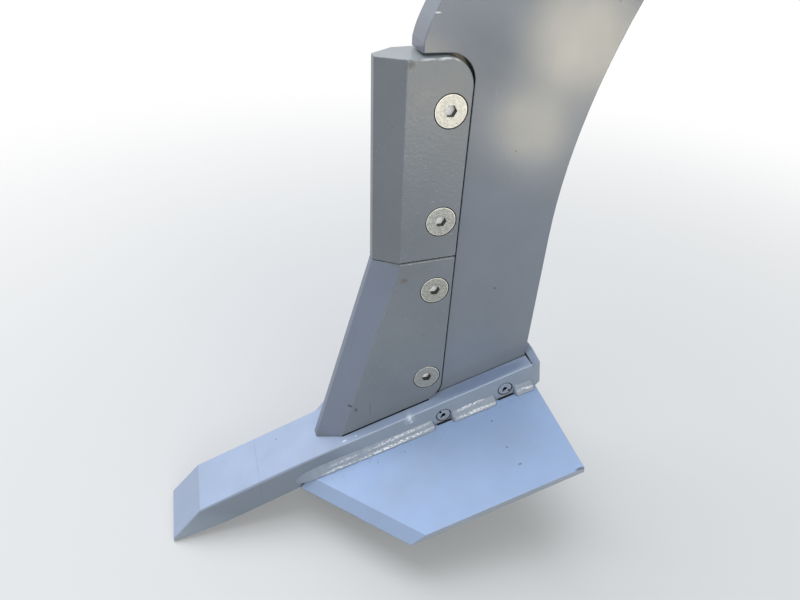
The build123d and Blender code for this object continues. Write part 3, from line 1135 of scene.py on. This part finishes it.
@dataclass
class Foot:
    """Foot, point, heel and wings: one light silver grey coat, with dust and painted light on top.
    """

    pocket_half: Triple = (0.0105, 0.0381, 0.0052)
    root_slope: float = 17.0
    pin_ring_mm: Pair = (7.0, 9.5)
    pins: tuple[str, ...] = ("front_pin_outer", "rear_pin_outer")

    def build(self, nodes: Nodes) -> list[str]:
        """Dresses the foot and what is welded to it.

        Args:
            nodes: CAD objects by name.

        Returns:
            The names of the pieces that it dressed.
        """
        marks_and_painted_light = [
            Mark((0.0639, 0.0582, -0.5632), (1.0, 1.1, 3.0), "26272B", 0.85, 0.5),
            Mark((0.0598, 0.0941, -0.5699), (0.9, 1.0, 3.0), "26272B", 0.85, 0.5),
            Mark((0.0544, 0.1176, -0.5735), (2.4, 1.3, 3.0), "5A6478", 0.7, 0.8),
            Mark((-0.0005, 0.1480, -0.5632), (7.0, 1.8, 2.0), "2A2C30", 0.8, 0.7),
            Mark((0.1575, 0.0335, -0.5590), (6.0, 8.0, 9.0), "C0CCDD", 0.5, 1.2),
            Mark((0.1592, 0.0335, -0.5552), (3.4, 3.0, 1.8), "EDF2F8", 0.8, 1.3),
            Mark((0.1570, 0.0345, -0.5600), (1.8, 3.0, 3.4), "EDF2F8", 0.8, 1.3),
            Mark((0.1548, 0.0345, -0.5655), (1.6, 3.0, 2.4), "E4EBF4", 0.7, 1.3),
            Mark((0.2326, 0.0298, -0.5811), (3.2, 1.5, 2.4), "E8F0FA", 0.95, 0.6, -0.3),
            Mark((0.2195, 0.0294, -0.5768), (1.4, 1.2, 1.6), "E8F0FA", 0.95, 0.4, -0.3),
            # Painted shade: a darker, bluer tone on the bar's top beside the shank
            Mark((0.0650, 0.0255, -0.5270), (75.0, 9.5, 30.0), "66789C", 0.45, 0.2),
            # Painted shadow: near black in the pockets under the pins, between the wing and the
            # foot
            PaintedLightBox((0.1114, 0.0, -0.5779), self.pocket_half, self.root_slope),
            PaintedLightBox((0.0360, 0.0, -0.5549), self.pocket_half, self.root_slope),
            # Painted shade: a dark line on the bar's top under the lower shin
            PaintedLightBox((0.1820, 0.0, -0.5645), (0.0547, 0.0231, 0.0010), 18.2),
            # Painted shade: the side darker towards the front
            Mark((0.3300, 0.0350, -0.6200), (120.0, 3.0, 70.0), "626C79", 0.6, 0.2),
            # Painted shade: a dark line across the top, in the seam between the bar and the heel
            PaintedLightBox((0.0090, 0.0, -0.5079), (0.0014, 0.0342, 0.0014), self.root_slope),
        ]
        # Painted shadow: a dark ring round each pin's outer end
        marks_and_painted_light += [
            Ring(outer_centre(name), *self.pin_ring_mm, "1D2023", 0.9) for name in self.pins
        ]
        # Sprayed silver grey enamel on sawn bar and cut plate: light, cool and satin
        paint = PaintedSteel(
            name="silver_grey_enamel_on_bar",
            colour="8F9AA9",
            shade="87929F",
            # Its film on top is dust and painted light from above
            dust_and_top_light="A9B9D2",
            dust_and_top_light_amount=1.0,
            rough=0.38,
            scratch_and_highlight_way=(40.0, 1.0, 1.0),
            scratch_and_highlight_colour="C2C8D2",
            chips=0.6,
            marks_and_painted_light=tuple(marks_and_painted_light),
        )
        # The same coat on the flat wings, whose film on top is bluer: a painted reflection of sky
        # as well as dust
        wing_paint = replace(paint, name="silver_grey_enamel_on_plate", dust_and_top_light="96B0D6")
        bar = dress(nodes, ["foot", "point", "heel"], paint.build())
        return bar + dress(nodes, ["wing_left", "wing_right"], wing_paint.build())


@dataclass(frozen=True)
class Root:
    """A wing's root on the foot: its front corner and its forward, upright and outward ways."""

    corner: Vector
    forward: Vector
    upright: Vector
    outward: Vector

    def point(self, down: float, across: float, height: float) -> Vector:
        """Gives a place near the root.

        Args:
            down: Distance back from the corner, in millimetres.
            across: Distance out on the wing.
            height: Distance up the foot's side.

        Returns:
            The place in metres.
        """
        return (
            self.corner
            - self.forward * (down * MM)
            + self.outward * (across * MM)
            + self.upright * (height * MM)
        )


@dataclass
class WeldRuns:
    """Rippled weld runs between a wing and the foot, with spatter beside them.

    Sizes are in millimetres and angles in degrees.
    """

    # The joint: slopes of the root and of the wing, the front and rear end of each run, their
    # tapers, and the square of the section's size at a run's very end
    root_slope: float = 17.0
    tilt: float = 12.0
    start_inset: float = 5.0
    runs: tuple[Pair, ...] = ((1.0, 176.3), (196.3, 255.1), (277.0, 304.2))
    front_taper: float = 34.0
    end_taper: float = 4.0
    least_square: float = 0.04
    # The section, whose face is the first share of its outline
    up: float = 11.0
    out: float = 8.0
    bulge: float = 0.25
    sunk: float = 0.4
    face_share: float = 0.7
    ring_step: float = 0.7
    ring_points: int = 22
    # Ripples, which bend back in crescents and grow rough from front to rear. What wanders
    # has a size and a number of turns in a millimetre.
    ripple: float = 3.4
    ripple_depth: float = 0.2
    ripple_middle: float = 0.6
    ripple_wander: Pair = (0.35, 0.11)
    crescent: float = 0.8
    rough_from: float = 40.0
    rough_over: float = 70.0
    rough_least: float = 0.1
    edge_wander: Pair = (0.06, 0.12)
    # Lumps on the face: height, number in a millimetre along it, number across it, offset
    lumps: tuple[tuple[float, float, float, float], ...] = (
        (0.5, 0.22, 6.0, 3.0),
        (0.35, 0.7, 11.0, 8.0),
    )
    # Drops beside the runs: least and most of each size and place
    spatter: int = 22
    drop_size: Pair = (0.3, 0.75)
    drop_down: Pair = (40.0, 296.0)
    drop_out: Pair = (10.0, 20.0)
    drop_up: Pair = (13.0, 20.0)
    drop_on_wing: float = 0.6
    seed: int = 7
    # Where the flecks of painted highlight lie, along the runs' crests
    painted_highlight_streaks: tuple[Mark, ...] = (
        Mark((0.1750, 0.0408, -0.5905), (52.0, 3.4, 1.9), turn=18.5),
        Mark((0.1700, 0.0380, -0.5825), (44.0, 3.2, 1.8), strength=0.7, ragged=0.6, turn=18.5),
        Mark((0.2420, 0.0415, -0.6115), (22.0, 3.2, 1.5), strength=0.7, ragged=0.6, turn=17.0),
        Mark((0.2350, 0.0380, -0.6040), (22.0, 3.0, 1.2), strength=0.5, ragged=0.6, turn=18.0),
        Mark((0.0844, 0.0360, -0.5545), (18.0, 3.2, 1.9), turn=18.7),
        Mark((0.0749, 0.0407, -0.5595), (29.0, 3.2, 2.0), turn=17.0),
        Mark((0.0165, 0.0400, -0.5395), (12.0, 3.2, 1.6), turn=14.0),
        Mark((0.0260, 0.0365, -0.5345), (10.0, 3.0, 1.3), strength=0.8, turn=17.0),
    )

    def build(self, nodes: Nodes) -> list[str]:
        """Makes the runs of both sides in place of the plain CAD fillets.

        Args:
            nodes: CAD objects by name; not used.

        Returns:
            The names of the new pieces.
        """
        # Weld metal under the silver coat: wet-looking ripples, with painted highlight flecks on
        # the crests
        paint = PaintedSteel(
            name="silver_grey_enamel_on_weld",
            colour="7F8B9A",
            shade="76828F",
            # Its film on top is dust and painted light from above
            dust_and_top_light="94A3B7",
            dust_and_top_light_amount=0.35,
            rough=0.36,
            peel_mm=0.9,
            peel_depth_mm=0.12,
            cloud_mm=14.0,
            scratch_and_highlight_way=(3.6, 1.5, 1.0),
            scratch_and_highlight_cut=(0.44, 0.56),
            # Painted highlight: near white flecks along the crests
            scratch_and_highlight_colour="F2F6FA",
            scratch_and_highlight_turn=self.root_slope,
            scratch_and_highlight_zones=self.painted_highlight_streaks,
            scratches_and_highlights=0.9,
            chips=0.0,
            edge_wear=0.0,
        )
        finish = paint.build()
        made = []
        for side in Side:
            node = f"wing_weld_{side.name.lower()}"
            piece = self._side(side, node, finish)
            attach(piece, "root")
            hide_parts(node)
            made.append(piece.name)
        return made

    def _side(self, side: Side, node: str, finish: bpy.types.Material) -> bpy.types.Object:
        """Makes one side's runs and spatter as one mesh.

        Args:
            side: Which side of the leg.
            node: The CAD node that the runs stand for.
            finish: Their material.

        Returns:
            The new object.
        """
        root = self._root(node)
        shape = bmesh.new()
        for index in range(len(self.runs)):
            run = self._run(root, index)
            shape.from_mesh(run)
            bpy.data.meshes.remove(run)
        self._spatter(shape, root, side)
        if side is Side.RIGHT:
            bmesh.ops.scale(shape, vec=(1.0, -1.0, 1.0), verts=shape.verts)
        bmesh.ops.recalc_face_normals(shape, faces=shape.faces)
        mesh = bpy.data.meshes.new(f"{node}_runs")
        shape.to_mesh(mesh)
        shape.free()
        mesh.shade_smooth()
        mesh.materials.append(finish)
        piece = bpy.data.objects.new(f"{node}_runs", mesh)
        bpy.context.scene.collection.objects.link(piece)
        return piece

    def _root(self, node: str) -> Root:
        """Finds the left wing's root from the plain runs' box.

        Args:
            node: The CAD node of either side's runs.

        Returns:
            The root.
        """
        low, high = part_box(node)
        slope, tilt = math.radians(self.root_slope), math.radians(self.tilt)
        forward = Vector((math.cos(slope), 0.0, -math.sin(slope)))
        upright = Vector((math.sin(slope), 0.0, math.cos(slope)))
        outward = Vector((0.0, math.cos(tilt), 0.0)) - upright * math.sin(tilt)
        start = self.start_inset * MM
        near = min(abs(low[1]), abs(high[1]))
        toe_drop = self.out * MM * math.sin(tilt)
        corner = Vector((high[0] + start * forward.x, near, low[2]))
        corner.x -= self.up * MM * upright.x
        corner.z += start * forward.z + toe_drop * upright.z
        return Root(corner, forward, upright, outward)

    def _run(self, root: Root, index: int) -> bpy.types.Mesh:
        """Makes one run: a tube that is cut into rings and pressed to the joint's section.

        Args:
            root: The root that it lies on.
            index: Number of the run, from the front.

        Returns:
            The run's mesh.
        """
        begin, end = self.runs[index]
        shape = bmesh.new()
        bmesh.ops.create_cone(
            shape, cap_ends=True, segments=self.ring_points, radius1=1.0, radius2=1.0, depth=1.0
        )
        # Only the edges along the unit tube are nearly as long as it is
        long_edges = [edge for edge in shape.edges if edge.calc_length() > 0.9]
        rings = int((end - begin) / self.ring_step)
        bmesh.ops.subdivide_edges(shape, edges=long_edges, cuts=rings, use_grid_fill=True)
        for vert in shape.verts:
            share = vert.co.z + 0.5
            around = (math.atan2(vert.co.y, vert.co.x) / math.tau) % 1.0
            down = begin + share * (end - begin)
            across, height = self._section(around, down, index)
            vert.co = root.point(down, across, height)
        mesh = bpy.data.meshes.new("weld_run")
        shape.to_mesh(mesh)
        shape.free()
        return mesh

    def _section(self, around: float, down: float, index: int) -> Pair:
        """Gives a point of the run's section.

        Args:
            around: Place round the section, from 0 to 1, with the face first.
            down: Distance from the root's front corner, in millimetres.
            index: Number of the run.

        Returns:
            Distances out on the wing and up the foot's side, in millimetres.
        """
        begin, end = self.runs[index]
        taper = self.front_taper if index == 0 else self.end_taper
        front = min((down - begin) / taper, 1.0)
        back = min((end - down) / self.end_taper, 1.0)
        least = self.least_square
        size = math.sqrt(max(1.0 - (1.0 - front) ** 2, least) * max(1.0 - (1.0 - back) ** 2, least))
        if around <= self.face_share:
            out, up = self._face(around / self.face_share, down, index)
            return out * size, up * size
        pos = (around - self.face_share) / (1.0 - self.face_share)
        if pos < 0.5:
            return -self.sunk, self.up * size * (1.0 - 2.0 * pos) - self.sunk * 2.0 * pos
        return self.out * size * (2.0 * pos - 1.0) - self.sunk * (2.0 - 2.0 * pos), -self.sunk

    def _face(self, pos: float, down: float, index: int) -> Pair:
        """Gives a point of the full section's rippled face.

        Args:
            pos: Place across the face, from 0 on the wing to 1 on the foot.
            down: Distance from the root's front corner, in millimetres.
            index: Number of the run.

        Returns:
            Distances out on the wing and up the foot's side, in millimetres.
        """
        lag = self.crescent * 4.0 * (pos - 0.5) ** 2
        far, often = self.ripple_wander
        phase = down / self.ripple + lag + far * noise.noise((down * often, index, 0.0))
        step = abs(math.sin(math.pi * phase)) - self.ripple_middle
        ridge = math.sin(math.pi * pos) ** 2
        ramp = min(max((down - self.rough_from) / self.rough_over, self.rough_least), 1.0)
        rough = ridge * ramp
        lift = self.bulge * ridge
        lift += rough * self.ripple_depth * step
        for height, along, across, apart in self.lumps:
            lift += rough * height * noise.noise((down * along, pos * across, apart + index))
        far, often = self.edge_wander
        reach = 1.0 + far * noise.noise((down * often, 9.0, index))
        out, up = self.out * (1.0 - pos) * reach, self.up * pos * reach
        slant = math.hypot(self.out, self.up)
        return out + lift * self.up / slant, up + lift * self.out / slant

    def _spatter(self, shape: bmesh.types.BMesh, root: Root, side: Side) -> None:
        """Adds drops of weld metal that stuck beside the runs.

        Args:
            shape: The mesh that they join.
            root: The root that the runs lie on.
            side: Which side of the leg, so that each has its own drops.
        """
        draw = random.Random(self.seed + side.value)
        for _ in range(self.spatter):
            down = draw.uniform(*self.drop_down)
            size = draw.uniform(*self.drop_size) * MM
            across, height = 0.0, 0.0
            if draw.random() < self.drop_on_wing:
                across = draw.uniform(*self.drop_out)
            else:
                height = draw.uniform(*self.drop_up)
            place = Matrix.Translation(root.point(down, across, height))
            bmesh.ops.create_icosphere(shape, subdivisions=2, radius=size, matrix=place)


@dataclass
class Pins:
    """Double spring pins through the foot's cheeks."""

    rows: tuple[str, ...] = ("front", "rear")
    sleeves: tuple[str, ...] = ("outer", "inner")

    def build(self, nodes: Nodes) -> list[str]:
        """Dresses the four sleeves.

        Args:
            nodes: CAD objects by name.

        Returns:
            The names of the pieces that it dressed.
        """
        # Hardened sleeve under overspray: grey where it was sawn, near black inside
        finish = SpringSteel("blued_spring_steel").build()
        names = [f"{row}_pin_{sleeve}" for row in self.rows for sleeve in self.sleeves]
        return dress(nodes, names, finish)


@dataclass
class Screws:
    """Countersunk socket screws and their nuts, zinc plated, the top one the palest.

    Args:
        colours: Name, plating colour and stain of each screw.
    """

    colours: tuple[tuple[str, str, str], ...] = (
        ("upper_shin_screw_high", "BCBEBB", "A1A39F"),
        ("upper_shin_screw_low", "A4A8A8", "7C8080"),
        ("lower_shin_screw_high", "A4A7A3", "80837F"),
        ("lower_shin_screw_low", "A9ABA8", "838583"),
    )

    def build(self, nodes: Nodes) -> list[str]:
        """Dresses each screw and its nut.

        Args:
            nodes: CAD objects by name.

        Returns:
            The names of the pieces that it dressed.
        """
        made = []
        for name, colour, stain in self.colours:
            # Zinc plate on a cut steel head: gritty, pale, with a rim rubbed bright
            plate = ZincPlate(f"zinc_plate_on_{name}", outer_centre(name), colour, stain)
            made += dress(nodes, [name, f"{name}_nut"], plate.build())
        return made


def main() -> None:
    """Builds the studio, dresses the leg and adds its weld runs."""
    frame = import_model()
    cad_low, cad_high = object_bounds()
    Studio(floor_up=cad_low[2]).build()
    PhotoCamera().build()
    for assembly in (Shank(), Shins(), Foot(), WeldRuns(), Pins(), Screws()):
        for name in assembly.build(frame["nodes"]):
            LOG.info("%s: %s", type(assembly).__name__, name)


if __name__ == "__main__":
    logging.basicConfig(level=logging.INFO)
    main()
